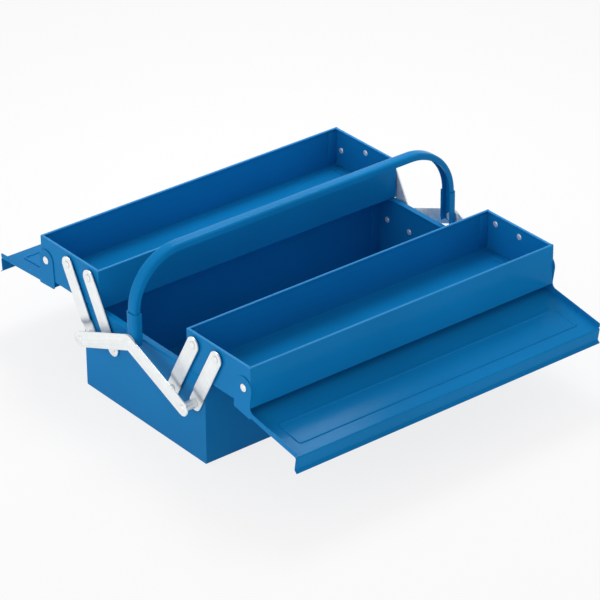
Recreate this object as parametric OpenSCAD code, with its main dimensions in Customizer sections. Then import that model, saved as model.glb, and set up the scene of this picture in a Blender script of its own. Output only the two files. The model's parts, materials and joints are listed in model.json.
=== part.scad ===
// Cantilever tool box: a folded steel base, two trays on swinging links,
// a lid on each tray and a hoop handle held by four flat bars.
// X runs along the box, -Y is the front, Z is up. The origin is the middle of
// the underside. The box stands open, as it is used.

/* [Sheet] */
// Thickness of the body, tray and lid sheet
sheet_t = 0.8; // [0.6:0.1:1.0]
// Gap between pieces that move past each other
gap = 0.3; // [0.25:0.05:0.4]
// Radius of the rolled rims
rim_r = 1.4; // [1.2:0.1:1.8]
// Centre-line radius of a bend in the sheet
bend_r = 1.2; // [1.0:0.1:1.6]

/* [Base box] */
// Length of the base and of each tray
body_l = 410; // [350:1:470]
// Width of the base across the box
body_w = 213; // [205:1:220]
// Height of the base's end walls
base_h = 102.3; // [98:0.1:106]
// Width of the flange along the top of an end wall
flange_w = 7; // [5:0.5:9]
// Length of the welding tabs on the end plates
tab_w = 12; // [8:1:16]
// Distance that the welding tabs stop short of the folds
tab_short = 6; // [4:0.5:8]
// Width of the two ribs pressed up in the floor
swage_w = 9; // [7:0.5:12]
// Distance from a rib's end to the end wall
swage_end = 45; // [30:1:70]

/* [Trays] */
// Height of a tray, rim to underside
tray_h = 48.4; // [46:0.1:50]
// Distance from the tray's inner edge to its first link pin
pin_in = 14.2; // [12:0.1:18]
// Distance that each tray moves outwards
travel = 77.2; // [74:0.1:80]

/* [Links] */
// Distance from the top of the base down to its link pins
base_pin_down = 33.8; // [32:0.1:38]
// Distance from a tray's rim down to its link pins
tray_pin_down = 13; // [11:0.1:15]
// Distance between the two link pins of a tray
pin_pitch = 38.5; // [36:0.1:42]
// Width of a link
link_w = 18; // [16:0.5:20]
// Thickness of a link
link_t = 1.6; // [1.2:0.1:2.0]
// Sideways step in a link
joggle = 1.4; // [1.3:0.1:1.8]
// Length of a link's inner end, past its pin, before the step
joggle_at = 13; // [11:0.5:16]
// Radius of the link pins
pin_r = 3; // [2.5:0.1:3.5]

/* [Handle] */
// Height of the handle's pivots above the base
pivot_up = 2.7; // [1:0.1:6]
// Height of the top of the handle
handle_top = 203; // [192:1:222]
// Width of the handle channel
handle_w = 13.5; // [13:0.5:18]
// Depth of the handle channel
handle_d = 7.5; // [6.5:0.1:7.6]
// Thickness of the handle channel
handle_t = 1.2; // [1.0:0.1:1.5]
// Outer radius of the handle's bends
handle_bend = 63; // [45:1:68]
// Height of a foot above its pivot
foot_h = 34; // [28:1:50]
// Width of the four handle bars
bar_w = 18; // [16:0.5:20]
// Thickness of the four handle bars
bar_t = 1.6; // [1.2:0.1:2.0]
// Clear space between the tray links and the handle
handle_gap = 0.5; // [0.4:0.1:1.0]

/* [Lids] */
// Distance from the tray's outer wall to the lid hinge
hinge_in = 10; // [9:0.5:11]
// Distance from the rim down to the lid hinge
hinge_down = 27; // [25:0.5:28]
// Radius of the lid hinge rivets
hinge_r = 2.5; // [2:0.1:3]
// How far an open front lid slopes below level
front_tilt = 9.5; // [6:0.5:12]
// How far an open rear lid slopes below level
rear_tilt = 3.5; // [2:0.5:6]
// Distance from the tray's inner edge to a shut lid's lip
lip_in = 5.5; // [4:0.5:8]
// Height of the lip on a lid's free edge
lip_h = 16; // [12:0.5:18]
// Width of the turned-out tip of the lip
flare_w = 5; // [3:0.5:5]
// Height of the lid's end flanges
end_h = 7; // [5:0.5:7]
// Radius of a lid ear round its hinge
ear_r = 12.5; // [10:0.5:13]
// Height of the raised bead on a lid
bead_h = 0.8; // [0.5:0.1:1.2]
// Width of the raised bead on a lid
bead_w = 3; // [2:0.5:4]
// Inset of the bead from the lid's ends and free edge
bead_in = 16; // [12:0.5:22]
// Width of the field inside the bead
bead_field = 37; // [28:1:44]

/* [Hidden] */
$fn = 48;
EPS = 0.01;
run_gap = 0.05;
bend_n = 4;

// Base and trays
half_l = body_l / 2;
half_w = body_w / 2;
end_in = half_l - sheet_t;
tray_z = base_h + gap;
rim_z = tray_z + tray_h;
tray_w = half_w - gap;

// Swing of the links: a tray moves from just clear of the middle to its open place
base_pin_z = base_h - base_pin_down;
tray_pin_z = rim_z - tray_pin_down;
pin_out = pin_in + pin_pitch;
rise = tray_pin_z - base_pin_z;
lean = atan(travel / 2 / rise);
link_len = rise / cos(lean);
open_y = gap + travel;
outer_y = open_y + tray_w;
base_pin_1 = open_y + pin_in - travel / 2;
base_pin_2 = base_pin_1 + pin_pitch;

// Stack of pieces outwards from an end wall
washer_t = 0.5;
pad_x = half_l + washer_t + gap;
link_x = pad_x + joggle;
link_slope = 24;
head_t = 1.6;
inner_head_t = 1.1;
head_r = pin_r + 1.5;
spacer_r = pin_r + 2;
tray_spacer_t = link_x - half_l - gap;
tray_head_x = link_x + link_t + gap;
foot_in = tray_head_x + head_t + handle_gap;
foot_t = 1.4;
hoop_in = foot_in + foot_t / 2;
hoop_x = hoop_in + handle_d;
foot_x = hoop_x + foot_t;
rear_bar_x = foot_x + gap;
front_bar_x = rear_bar_x + bar_t;
pivot_z = base_h + pivot_up;
pivot_head_r = 5.5;
pivot_inner_r = 5;
leg_low = pivot_z + 12;
channel_r = 3;

// Lids: the hinge line, and the sheet's distance from it so that it swings clear
hinge_y = outer_y - hinge_in;
hinge_z = rim_z - hinge_down;
lid_d = norm([hinge_in, hinge_down]) + gap;
lid_x = half_l + gap;
edge_u = hinge_in + 2 * gap + sheet_t;
free_u = hinge_y - open_y - lip_in;
notch_u = hinge_in + lid_d * sin(front_tilt) + 2 * gap;
notch_x = end_in - gap;
ear_step = 2;
ear_fillet = 6;
ear_corner = 3;
bead_r = 4;
flange_y = half_w - hinge_in - edge_u * cos(front_tilt) - lid_d * sin(front_tilt);

// The base's long walls stop below the path of an open lid
function lid_low(tilt) = hinge_z - (lid_d + sheet_t) / cos(tilt) - (half_w - hinge_y + travel) * tan(tilt);
wall_h = min(lid_low(front_tilt), lid_low(rear_tilt)) - 2 * gap;

// Depth of the fold on a lid's hinge edge, which stops under the open tray
function fold_h(tilt) = lid_d - (tray_h - hinge_down + gap + edge_u * sin(tilt)) / cos(tilt);

blue = [0.05, 0.33, 0.62];
zinc = [0.86, 0.88, 0.88];

// ---- Shapes that repeat ----

// One face of a folded sheet: straight runs [length, turn] joined by round bends
function face(steps, off, p = [0, 0], a = 0, i = 0) =
    i >= len(steps) ? [] :
    let (
        turn = steps[i][1],
        side = sign(turn),
        q = p + steps[i][0] * [cos(a), sin(a)],
        c = q + side * bend_r * [-sin(a), cos(a)],
        points = turn == 0
            ? [q + off * [-sin(a), cos(a)]]
            : [
                for (k = [0:bend_n]) let (b = a + turn * k / bend_n)
                c - (side * bend_r - off) * [-sin(b), cos(b)]
            ],
        next = turn == 0 ? q : c - side * bend_r * [-sin(a + turn), cos(a + turn)]
    )
    concat(points, face(steps, off, next, a + turn, i + 1));

function reversed(list) = [for (i = [len(list) - 1:-1:0]) list[i]];

// Section of a folded sheet of thickness t, starting at the origin along +X
module folded(steps, t = sheet_t) {
    polygon(concat(
        [[0, t / 2]], face(steps, t / 2),
        reversed(face(steps, -t / 2)), [[0, -t / 2]]
    ));
}

// A drawing in Y and Z, extruded from x0 to x1
module yz(x0, x1) {
    translate([x0, 0, 0]) rotate([90, 0, 90]) linear_extrude(x1 - x0) children();
}

// A drawing in X and Z, extruded from y0 to y1
module xz(y0, y1) {
    translate([0, y1, 0]) rotate([90, 0, 0]) linear_extrude(y1 - y0) children();
}

module block(low, high) {
    translate(low) cube(high - low);
}

module rod_x(y, z, r, x0, x1) {
    translate([x0, y, z]) rotate([0, 90, 0]) cylinder(r = r, h = x1 - x0);
}

module rod_y(x, z, r, y0, y1) {
    translate([x, y0, z]) rotate([-90, 0, 0]) cylinder(r = r, h = y1 - y0);
}

// A low domed head, standing outwards along X from x
module dome(y, z, x, r, h) {
    big = (r * r + h * h) / (2 * h);
    translate([x, y, z]) rotate([0, 90, 0]) rotate_extrude()
        intersection() {
            translate([0, h - big]) circle(big, $fn = 96);
            square([r, h]);
        }
}

// A rivet along X: head inside the sheet, shank, and a domed head outside
module rivet(y, z, r, inner_x, outer_x, hr) {
    rod_x(y, z, hr, inner_x - inner_head_t, inner_x);
    rod_x(y, z, r, inner_x - EPS, outer_x + EPS);
    dome(y, z, outer_x, hr, head_t);
}

module ring_x(y, z, r, hole, x0, x1) {
    difference() {
        rod_x(y, z, r, x0, x1);
        rod_x(y, z, hole, x0 - 1, x1 + 1);
    }
}

module both_ends() {
    children();
    mirror([1, 0, 0]) children();
}

module at_end(left) {
    if (left) mirror([1, 0, 0]) children();
    else children();
}

module at_side(front) {
    if (front) mirror([0, 1, 0]) children();
    else children();
}

// ---- Base ----

module base_shell() {
    color(blue) difference() {
        union() {
            block([-end_in, -half_w, 0], [end_in, half_w, sheet_t]);
            for (s = [0, 1]) mirror([0, s, 0]) {
                block([-end_in, half_w - sheet_t, 0], [end_in, half_w, wall_h - rim_r]);
                rod_x(half_w - rim_r, wall_h - rim_r, rim_r, -end_in, end_in);
            }
            floor_swages(sheet_t, swage_w);
        }
        floor_swages(0, swage_w - 2 * sheet_t);
    }
}

// Long ribs pressed up in the floor, each one sheet high
module floor_swages(z, w) {
    length = body_l - 2 * swage_end;
    for (s = [-1, 1]) translate([0, s * half_w / 2, z]) linear_extrude(sheet_t) {
        square([length, w], center = true);
        for (e = [-1, 1]) translate([e * length / 2, 0]) circle(w / 2);
    }
}

// An end plate with a floor tab, side tabs and a top flange between the trays
module base_end() {
    inner = half_w - sheet_t;
    color(blue) difference() {
        union() {
            block([end_in, -half_w, 0], [half_l, half_w, base_h]);
            block([end_in - flange_w, -flange_y, base_h - sheet_t], [end_in, flange_y, base_h]);
            block([end_in - tab_w, -inner + tab_short, sheet_t], [end_in, inner - tab_short, 2 * sheet_t]);
            for (s = [0, 1]) mirror([0, s, 0])
                block([end_in - tab_w, inner - sheet_t, tab_short], [end_in, inner, wall_h - 3 * rim_r]);
        }
        for (s = [-1, 1], y = [base_pin_1, base_pin_2])
            rod_x(s * y, base_pin_z, pin_r, end_in - 1, half_l + 1);
    }
}

// ---- Trays ----

module tray_shell(front) {
    top = rim_z - rim_r;
    color(blue) at_side(front) {
        block([-end_in, open_y, tray_z], [end_in, outer_y, tray_z + sheet_t]);
        block([-end_in, open_y, tray_z], [end_in, open_y + sheet_t, top]);
        block([-end_in, outer_y - sheet_t, tray_z], [end_in, outer_y, top]);
        for (y = [open_y + rim_r, outer_y - rim_r]) rod_x(y, top, rim_r, -end_in, end_in);
    }
}

module tray_end(front, left) {
    top = rim_z - rim_r;
    low_y = open_y + 2 * rim_r;
    high_y = outer_y - 2 * rim_r;
    tab_top = rim_z - 3 * rim_r;
    color(blue) at_side(front) at_end(left) difference() {
        union() {
            block([end_in, open_y, tray_z], [half_l, outer_y, top]);
            rod_y(half_l - rim_r, top, rim_r, low_y, high_y);
            for (y = [open_y + sheet_t, outer_y - 2 * sheet_t])
                block([end_in - tab_w, y, tray_z + tab_short], [end_in, y + sheet_t, tab_top]);
            translate([end_in - tab_w, open_y + tab_short, tray_z + sheet_t])
                cube([tab_w, tray_w - 2 * tab_short, sheet_t]);
            for (y = [open_y, high_y])
                block([end_in, y, top - EPS], [half_l, y + 2 * rim_r, rim_z - gap]);
        }
        for (y = [pin_in, pin_out]) rod_x(open_y + y, tray_pin_z, pin_r, end_in - 1, half_l + 1);
        rod_x(hinge_y, hinge_z, hinge_r, end_in - 1, half_l + 1);
    }
}

// ---- Lids ----

// A lid is drawn about its hinge: u runs outwards along the open lid, n is its normal
module lid(front, tilt) {
    fold = fold_h(tilt);
    run_1 = fold + sheet_t / 2 - bend_r;
    run_2 = free_u + edge_u - sheet_t - 2 * bend_r;
    run_3 = lip_h - sheet_t - 2 * bend_r;
    color(blue) at_side(front) translate([0, hinge_y, hinge_z]) rotate([-tilt, 0, 0]) {
        difference() {
            yz(-lid_x - sheet_t, lid_x + sheet_t)
                translate([-edge_u + sheet_t / 2, fold - lid_d]) rotate(-90)
                    folded([[run_1, 90], [run_2, -90], [run_3, 60], [flare_w - bend_r, 0]]);
            both_ends() block(
                [notch_x, -edge_u - 1, -lid_d - sheet_t - 1],
                [lid_x + sheet_t + 1, notch_u, fold - lid_d + 1]
            );
        }
        both_ends() yz(lid_x, lid_x + sheet_t) lid_end_outline();
        lid_bead();
    }
}

// The flange along a lid's end, with the ear that carries the hinge
module lid_end_outline() {
    low = -lid_d - sheet_t;
    difference() {
        union() {
            translate([-ear_r, low]) square([free_u + ear_r - sheet_t, end_h]);
            translate([-ear_r, low + ear_step]) square([2 * ear_r, -low - ear_step]);
            circle(ear_r);
            translate([ear_r, low + end_h]) difference() {
                square(ear_fillet);
                translate([ear_fillet, ear_fillet]) circle(ear_fillet);
            }
        }
        circle(hinge_r + run_gap);
        translate([-ear_r - EPS, low - EPS]) difference() {
            square(ear_corner);
            translate([ear_corner, ear_corner]) circle(ear_corner);
        }
    }
}

// The raised rectangular bead on the lid
module lid_bead() {
    x = half_l - bead_in;
    v1 = free_u - bead_in;
    v0 = v1 - bead_field;
    translate([0, 0, -lid_d - EPS]) linear_extrude(bead_h) difference() {
        rounded_field(x, v0, v1, bead_r);
        rounded_field(x - bead_w, v0 + bead_w, v1 - bead_w, bead_r / 2);
    }
}

module rounded_field(x, v0, v1, r) {
    translate([-x + r, v0]) square([2 * (x - r), v1 - v0]);
    translate([-x, v0 + r]) square([2 * x, v1 - v0 - 2 * r]);
    for (sx = [-1, 1], v = [v0 + r, v1 - r]) translate([sx * (x - r), v]) circle(r);
}

// ---- Links ----

// A flat link with a step: its inner end lies on the base, the rest stands clear of the trays
module link(front, left, pin_y) {
    bend_x = 2 * bend_r * (1 - cos(link_slope));
    step_run = (joggle - bend_x) / sin(link_slope);
    step_z = step_run * cos(link_slope) + 2 * bend_r * sin(link_slope);
    half = link_w / 2;
    color(zinc) at_side(front) at_end(left)
        translate([pad_x, pin_y, base_pin_z]) rotate([-lean, 0, 0]) difference() {
            intersection() {
                xz(-half, half) translate([link_t / 2, -half - 1]) rotate(90)
                    folded([
                        [half + 1 + joggle_at, -link_slope], [step_run, link_slope],
                        [link_len + half - joggle_at - step_z + 1, 0]
                    ], link_t);
                yz(-1, joggle + link_t + 1) {
                    circle(half);
                    translate([-half, 0]) square([link_w, link_len]);
                    translate([0, link_len]) circle(half);
                }
            }
            for (z = [0, link_len]) rod_x(0, z, pin_r + run_gap, -1, joggle + link_t + 1);
        }
}

// ---- Handle and its bars ----

// A flat bar from the handle pivot to the outer link pin
module handle_bar(front, left) {
    x = front ? front_bar_x : rear_bar_x;
    drop = pivot_z - base_pin_z;
    length = norm([base_pin_2, drop]);
    fall = atan2(drop, base_pin_2);
    color(zinc) at_side(front) at_end(left) translate([x, 0, pivot_z]) rotate([-fall, 0, 0])
        difference() {
            yz(0, bar_t) {
                circle(bar_w / 2);
                translate([0, -bar_w / 2]) square([length, bar_w]);
                translate([length, 0]) circle(bar_w / 2);
            }
            for (y = [0, length]) rod_x(y, 0, pin_r, -1, bar_t + 1);
        }
}

// Section of the handle channel: the back at 0, the open side at handle_d
module channel_section() {
    half = handle_w / 2;
    r = channel_r;
    difference() {
        union() {
            translate([r, -half]) square([handle_d - r, handle_w]);
            translate([0, -half + r]) square([handle_d, handle_w - 2 * r]);
            for (s = [-1, 1]) translate([r, s * (half - r)]) circle(r);
        }
        translate([handle_t, -half + r]) square([handle_d, handle_w - 2 * r]);
        translate([r, -half + handle_t]) square([handle_d, handle_w - 2 * handle_t]);
        for (s = [-1, 1]) translate([r, s * (half - r)]) circle(r - handle_t);
    }
}

module handle_hoop() {
    bend_z = handle_top - handle_bend;
    bend_x = hoop_x - handle_bend;
    color(blue) {
        both_ends() {
            translate([hoop_x, 0, leg_low]) mirror([1, 0, 0])
                linear_extrude(bend_z - leg_low) channel_section();
            translate([bend_x, 0, bend_z]) rotate([90, 0, 0]) rotate_extrude(angle = 90, $fn = 96)
                translate([handle_bend, 0]) mirror([1, 0]) channel_section();
        }
        translate([-bend_x, 0, handle_top]) rotate([0, 90, 0]) linear_extrude(2 * bend_x) channel_section();
    }
}

// A U-shaped foot that wraps the end of the hoop and turns on the pivot rivet
module handle_foot(left) {
    half = handle_w / 2 + foot_t;
    top = pivot_z + foot_h;
    color(blue) at_end(left) difference() {
        intersection() {
            block([foot_in, -half, pivot_z - half], [foot_x, half, top]);
            yz(foot_in - 1, foot_x + 1) {
                translate([0, pivot_z]) circle(half);
                translate([-half, pivot_z]) square([2 * half, foot_h]);
            }
        }
        block([foot_in - 1, -half + foot_t, pivot_z - half - 1], [hoop_x, half - foot_t, top + 1]);
        rod_x(0, pivot_z, pin_r + run_gap, hoop_x - 1, foot_x + 1);
    }
}

module handle_pivot_rivets() {
    inside = hoop_x - gap;
    color(zinc) both_ends() {
        rod_x(0, pivot_z, pivot_inner_r, inside - head_t, inside);
        rod_x(0, pivot_z, pin_r, inside - EPS, front_bar_x + bar_t + EPS);
        dome(0, pivot_z, front_bar_x + bar_t, pivot_head_r, head_t);
    }
}

// ---- Pins, washers and spacers ----

module inner_base_pins() {
    color(zinc) both_ends() for (s = [-1, 1])
        rivet(s * base_pin_1, base_pin_z, pin_r, end_in, pad_x + link_t + gap, head_r);
}

module outer_base_pins() {
    color(zinc) both_ends() {
        rivet(base_pin_2, base_pin_z, pin_r, end_in, rear_bar_x + bar_t, head_r);
        rivet(-base_pin_2, base_pin_z, pin_r, end_in, front_bar_x + bar_t, head_r);
    }
}

module base_washers() {
    color(zinc) both_ends() for (s = [-1, 1], y = [base_pin_1, base_pin_2])
        ring_x(s * y, base_pin_z, spacer_r, pin_r, half_l, half_l + washer_t);
}

module bar_spacers() {
    start = pad_x + link_t + gap;
    color(zinc) both_ends() {
        ring_x(base_pin_2, base_pin_z, spacer_r, pin_r, start, rear_bar_x);
        ring_x(-base_pin_2, base_pin_z, spacer_r, pin_r, start, front_bar_x);
    }
}

module tray_pins(front) {
    color(zinc) at_side(front) both_ends() for (y = [pin_in, pin_out])
        rivet(open_y + y, tray_pin_z, pin_r, end_in, tray_head_x, head_r);
}

module tray_spacers(front) {
    color(zinc) at_side(front) both_ends() for (y = [pin_in, pin_out])
        ring_x(open_y + y, tray_pin_z, spacer_r, pin_r, half_l, half_l + tray_spacer_t);
}

module lid_rivets(front) {
    color(zinc) at_side(front) both_ends()
        rivet(hinge_y, hinge_z, hinge_r, end_in, lid_x + sheet_t + gap, head_r);
}

base_shell();
at_end(true) base_end();  // base_end_left
at_end(false) base_end();  // base_end_right
tray_shell(true);  // front_tray_shell
tray_end(true, true);  // front_tray_end_left
tray_end(true, false);  // front_tray_end_right
tray_shell(false);  // rear_tray_shell
tray_end(false, true);  // rear_tray_end_left
tray_end(false, false);  // rear_tray_end_right
lid(true, front_tilt);  // front_lid
lid(false, rear_tilt);  // rear_lid
link(true, true, base_pin_2);  // front_outer_link_left
link(true, false, base_pin_2);  // front_outer_link_right
link(true, true, base_pin_1);  // front_inner_link_left
link(true, false, base_pin_1);  // front_inner_link_right
link(false, true, base_pin_2);  // rear_outer_link_left
link(false, false, base_pin_2);  // rear_outer_link_right
link(false, true, base_pin_1);  // rear_inner_link_left
link(false, false, base_pin_1);  // rear_inner_link_right
handle_bar(true, true);  // front_handle_bar_left
handle_bar(true, false);  // front_handle_bar_right
handle_bar(false, true);  // rear_handle_bar_left
handle_bar(false, false);  // rear_handle_bar_right
handle_hoop();
handle_foot(true);  // handle_foot_left
handle_foot(false);  // handle_foot_right
handle_pivot_rivets();
inner_base_pins();
outer_base_pins();
base_washers();
bar_spacers();
tray_pins(true);  // front_tray_pins
tray_pins(false);  // rear_tray_pins
tray_spacers(true);  // front_tray_spacers
tray_spacers(false);  // rear_tray_spacers
lid_rivets(true);  // front_lid_rivets
lid_rivets(false);  // rear_lid_rivets
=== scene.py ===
"""Looks of a cantilever tool box in folded steel: blue stove enamel, zinc links and rivets.

X runs along the box, -Y is the front and Z is up, in metres. Sheet pieces are drawn as folded
sections or pressed grids and stand for the CAD nodes whose places and sizes they take.
"""
import json
import math

import bpy
import numpy as np
from mathutils import Matrix, Vector


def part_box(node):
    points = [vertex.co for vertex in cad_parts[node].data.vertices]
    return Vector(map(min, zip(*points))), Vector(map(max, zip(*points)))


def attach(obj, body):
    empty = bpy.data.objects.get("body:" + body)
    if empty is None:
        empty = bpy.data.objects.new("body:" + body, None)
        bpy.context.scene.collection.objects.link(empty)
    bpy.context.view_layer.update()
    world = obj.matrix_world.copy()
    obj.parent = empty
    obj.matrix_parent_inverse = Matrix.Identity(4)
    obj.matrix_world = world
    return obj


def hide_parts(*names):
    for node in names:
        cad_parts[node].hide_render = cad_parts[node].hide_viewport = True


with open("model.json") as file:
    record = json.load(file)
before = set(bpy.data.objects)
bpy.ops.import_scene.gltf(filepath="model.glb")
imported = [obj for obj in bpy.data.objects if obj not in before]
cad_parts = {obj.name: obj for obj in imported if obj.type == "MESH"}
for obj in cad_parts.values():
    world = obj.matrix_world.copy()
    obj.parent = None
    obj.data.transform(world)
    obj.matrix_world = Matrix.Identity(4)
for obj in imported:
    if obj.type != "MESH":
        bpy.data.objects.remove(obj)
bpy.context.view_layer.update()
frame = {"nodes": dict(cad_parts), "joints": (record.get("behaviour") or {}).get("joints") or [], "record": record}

bl_info = {
    "name": "Cantilever tool box looks",
    "version": (1, 0, 0),
    "blender": (4, 5, 0),
    "location": "View3D > Sidebar > Tool box",
    "description": "Folded sheet, pressed lids and plated links around a fixed frame",
    "category": "Object",
}

MM = 0.001
SIDES = ("front", "rear")
ENDS = ("left", "right")
JOINTS = {joint["name"]: joint for joint in frame["joints"]}
BODIES = frame["record"]["behaviour"]["bodies"]

WHITE = (1, 1, 1, 1)
NEAR_ZERO = 1e-12  # least length that a vector is divided by
SAME_PLACE = 1e-7  # points of a section closer than this are one point
BEND_STEPS = 7  # steps in a quarter turn of a fold
SMOOTH_ANGLE = math.radians(38)  # faces that meet at less than this are shaded as one surface
EASE = 0.3  # how far the corners of a cut edge are eased, as a share of half the sheet
MITRE_LIMIT = 1.6  # how far an outline's corner may move when it is inset, as a multiple of the inset
EDGE_RINGS = np.array([(1.0, 0.3, 0.0), (0.0, 0.3, 1.0)])  # inset and depth, on a quarter circle of radius 1


# ---- Settings ----


def property_maker(kind, **more):
    """A maker of one kind of property from its name, description and default."""
    return lambda name, text, value: kind(name=name, description=text, default=value, **more)


length = property_maker(bpy.props.FloatProperty, unit="LENGTH", precision=4)  # in metres
number = property_maker(bpy.props.FloatProperty, precision=3)
tint = property_maker(bpy.props.FloatVectorProperty, size=3, subtype="COLOR")
vector = property_maker(bpy.props.FloatVectorProperty, size=3, subtype="XYZ")


class SheetSizes(bpy.types.PropertyGroup):
    """Folds, rims and pressings of the sheet pieces"""

    bend: length("Fold", "Centre-line radius of a fold", 1.2 * MM)
    rim: length("Rim", "Radius of a rolled rim", 1.4 * MM)
    curl: number("Curl", "Turn of a rolled rim in degrees", 285)
    edge: length("Edge", "Rounding of a cut edge", 0.2 * MM)
    tab: length("Tab", "Length of a welding tab", 12 * MM)
    tab_short: length("Tab inset", "From a tab to the fold", 6 * MM)
    rib: length("Rib", "Width of a floor rib", 9 * MM)
    rib_end: length("Rib end", "From a rib to the end wall", 45 * MM)
    flange: length("Flange", "Width of the base's top flange", 7 * MM)


class LidSizes(bpy.types.PropertyGroup):
    """Pressed lid: lip, flange, ear and bead"""

    lip_in: length("Lip inset", "From the tray's inner edge to a shut lip", 5.5 * MM)
    lip: length("Lip", "Height of the lip", 16 * MM)
    flare: length("Flare", "Width of the turned-out tip", 5 * MM)
    end_h: length("End flange", "Its height", 7 * MM)
    ear: length("Ear", "Its radius", 12.5 * MM)
    ear_drop: length("Ear drop", "Its reach under the notch", 1.3 * MM)
    bead_h: length("Bead height", "Its height", 1.1 * MM)
    bead_w: length("Bead width", "Its width", 3.2 * MM)
    flank: length("Bead flank", "Width of a side", 0.9 * MM)
    mesh_step: length("Bead step", "Spacing of points across a bead", 0.2 * MM)
    bead_in: length("Bead inset", "From the edges", 16 * MM)
    bead_field: length("Bead field", "Width of the field", 37 * MM)
    bead_corner: length("Bead corner", "Its radius", 4 * MM)


class StripSizes(bpy.types.PropertyGroup):
    """Links, bars and the handle channel"""

    edge: length("Edge", "Rounding of a strip's edges", 0.35 * MM)
    slope: number("Step slope", "Slope of a link's step in degrees", 24)
    step_at: length("Step place", "From the base pin to the step", 13 * MM)
    painted_reflection_reach: length("Marked length", "How far a step dulls the plate", 4.5 * MM)
    # Reach of the painted reflection: a grey band at a link's step, where the step would mirror dark surroundings.
    thick: length("Thickness", "Of a link", 1.6 * MM)
    channel: length("Channel wall", "Its thickness", 1.2 * MM)
    channel_r: length("Channel corner", "Its radius", 3 * MM)
    bend: length("Handle bend", "Outer radius", 63 * MM)
    foot: length("Foot sheet", "Its thickness", 1.4 * MM)


class RivetSizes(bpy.types.PropertyGroup):
    """Turned rivets"""

    shank: length("Shank", "Its radius", 3 * MM)
    head: length("Head", "Its height", 1.6 * MM)
    tail: length("Tail", "Radius of the closed end", 3.6 * MM)
    tail_h: length("Tail height", "Height of the closed end", 1.1 * MM)


class EnamelLook(bpy.types.PropertyGroup):
    """Finish of the painted sheet"""

    blue: tint("Blue", "Enamel colour", (0.005, 0.196, 0.485))
    tone_low: number("Darker tone", "Share of the colour in dark drifts", 0.93)
    tone_high: number("Lighter tone", "Share of the colour in light drifts", 1.07)
    drift_scale: number("Drift scale", "Tone patches per metre", 7)
    haze_scale: number("Haze scale", "Gloss patches per metre", 22)
    # The rim colour is a painted highlight: a paler blue laid on the tops of the rolled rims, where light would
    # catch them.
    rim: tint("Rim", "Thin enamel on the rims", (0.05, 0.3, 0.66))
    rim_highlight_fade: length("Rim fade", "Height over which it pales", 1.35 * MM)
    rim_highlight_least: number("Least rim", "Share of the rim colour in glossy patches", 0.75)
    rim_highlight_more: number("More rim", "How much that share grows in dull patches", 0.5)
    peel_scale: number("Peel scale", "Bumps per metre", 420)
    peel: number("Peel", "Strength of the orange peel", 0.08)
    peel_h: length("Peel height", "Height of its bumps", 0.2 * MM)
    gloss_low: number("Glossy roughness", "Where it shines most", 0.13)
    gloss_high: number("Dull roughness", "Where it shines least", 0.2)
    specular: number("Specular", "Strength of the reflections", 0.045)
    gloss_tint: tint("Gloss tint", "Colour of the reflections", (0.55, 0.85, 1.0))


class ZincLook(bpy.types.PropertyGroup):
    """Finish of the plated links, bars and rivets"""

    zinc: tint("Zinc", "Plate colour", (0.94, 0.97, 0.97))
    tone_low: number("Darker tone", "Share of the colour in streaks", 0.86)
    streaks_along: number("Streaks along", "Number per metre", 12)
    streaks_across: number("Streaks across", "Number per metre", 900)
    streak: number("Streak", "Strength of the rolling streaks", 0.12)
    streak_h: length("Streak height", "Height of the rolling streaks", 0.1 * MM)
    cloud_scale: number("Spangle scale", "Cloudy patches per metre", 70)
    rivet_scale: number("Rivet scale", "Spots on a rivet per metre", 500)
    # The formed-zinc colour and its strengths paint a dark reflection on a link's step: a grey band where the step
    # would mirror dark surroundings.
    dull: tint("Formed zinc", "Colour where a strip was pressed", (0.22, 0.27, 0.34))
    formed: number("Forming", "How strongly pressing dulls the plate", 0.8)
    painted_reflection_least: number("Least forming", "Share of that in bright patches", 0.6)
    painted_reflection_more: number("More forming", "How much that share grows in dull patches", 0.8)
    metallic: number("Metallic", "How metallic the plate is", 0.5)
    gloss_low: number("Bright roughness", "Where it shines most", 0.3)
    gloss_high: number("Dull roughness", "Where it shines least", 0.45)


class StageLook(bpy.types.PropertyGroup):
    """Floor, room, lamps and camera"""

    floor: tint("Floor", "Floor colour", (0.95, 0.95, 0.95))
    floor_low: number("Floor shade", "Share of the colour in its darker patches", 0.99)
    glow: number("Floor glow", "Share of plain white in the floor as seen", 0.8)
    sky: number("Sky", "Strength of the light at eye level", 1.02)
    zenith: number("Zenith", "Strength of the light overhead", 0.36)
    left: number("Left lamp", "Power in watts", 15)
    near: number("Near lamp", "Power in watts", 5)
    rear: number("Rear lamp", "Power in watts", 1.1)
    lens: number("Lens", "Focal length in millimetres", 205)
    eye: vector("Camera", "Place of the camera", (-1.995239, -2.531484, 1.883972))
    look: vector("View", "Direction of view", (0.540715, 0.684412, -0.489088))
    roll: number("Roll", "Turn of the camera in degrees", -0.5705)


def settings(name):
    """The scene's copy of a group of settings."""
    return getattr(bpy.context.scene, "tool_box_" + name)


# ---- Places taken from the frame ----


def span(node):
    """Lowest and highest corner of a CAD node, as arrays."""
    low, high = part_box(node)
    return np.array(low), np.array(high)


def joint_at(name):
    """The point that a joint turns about."""
    return np.array(JOINTS[name]["pos_m"])


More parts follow.
